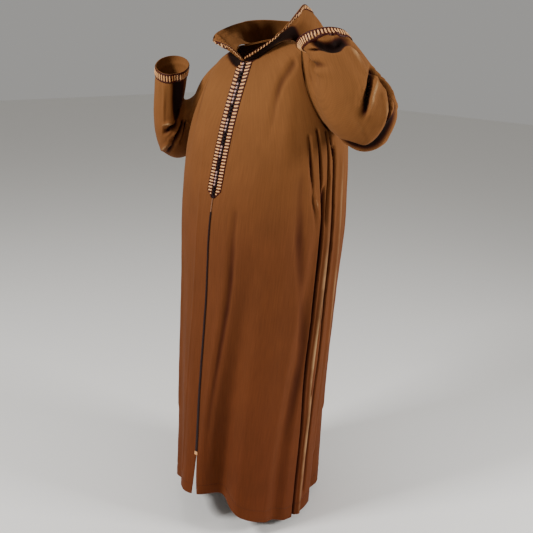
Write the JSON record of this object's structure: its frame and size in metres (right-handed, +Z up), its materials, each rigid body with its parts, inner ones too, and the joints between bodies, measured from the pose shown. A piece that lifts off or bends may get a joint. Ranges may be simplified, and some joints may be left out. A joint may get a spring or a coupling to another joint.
{
  "type": "djellaba robe",
  "caption": "Long hooded robe of brown wool, worn open at neck, cuffs and hem, with pale braid on hood, cuffs and a knotted front closing.",
  "frame": {"origin": "middle of the neck opening, level with the shoulders that carry the garment", "axes": "+X to the wearer's left, -Y to the wearer's front, +Z up"},
  "size_m": [0.8267, 0.5007, 1.5146],
  "materials": {
    "tobacco_wool": "woven wool, soft nap, matt",
    "cream_braid": "silky flat braid, satin",
    "plum_cord": "silky round cord, satin"
  },
  "bodies": {
    "root": {"front_left": "tobacco_wool", "front_right": "tobacco_wool", "back": "tobacco_wool", "sleeve_left": "tobacco_wool", "sleeve_right": "tobacco_wool", "hood_left": "tobacco_wool", "hood_right": "tobacco_wool", "placket_trim_left": "cream_braid", "placket_trim_right": "cream_braid", "cuff_trim_left": "cream_braid", "cuff_trim_right": "cream_braid", "hood_trim_left": "cream_braid", "hood_trim_right": "cream_braid", "hem_slit_tack": "cream_braid", "placket_knots": "plum_cord", "front_seam_braid": "plum_cord"}
  },
  "joints": []
}
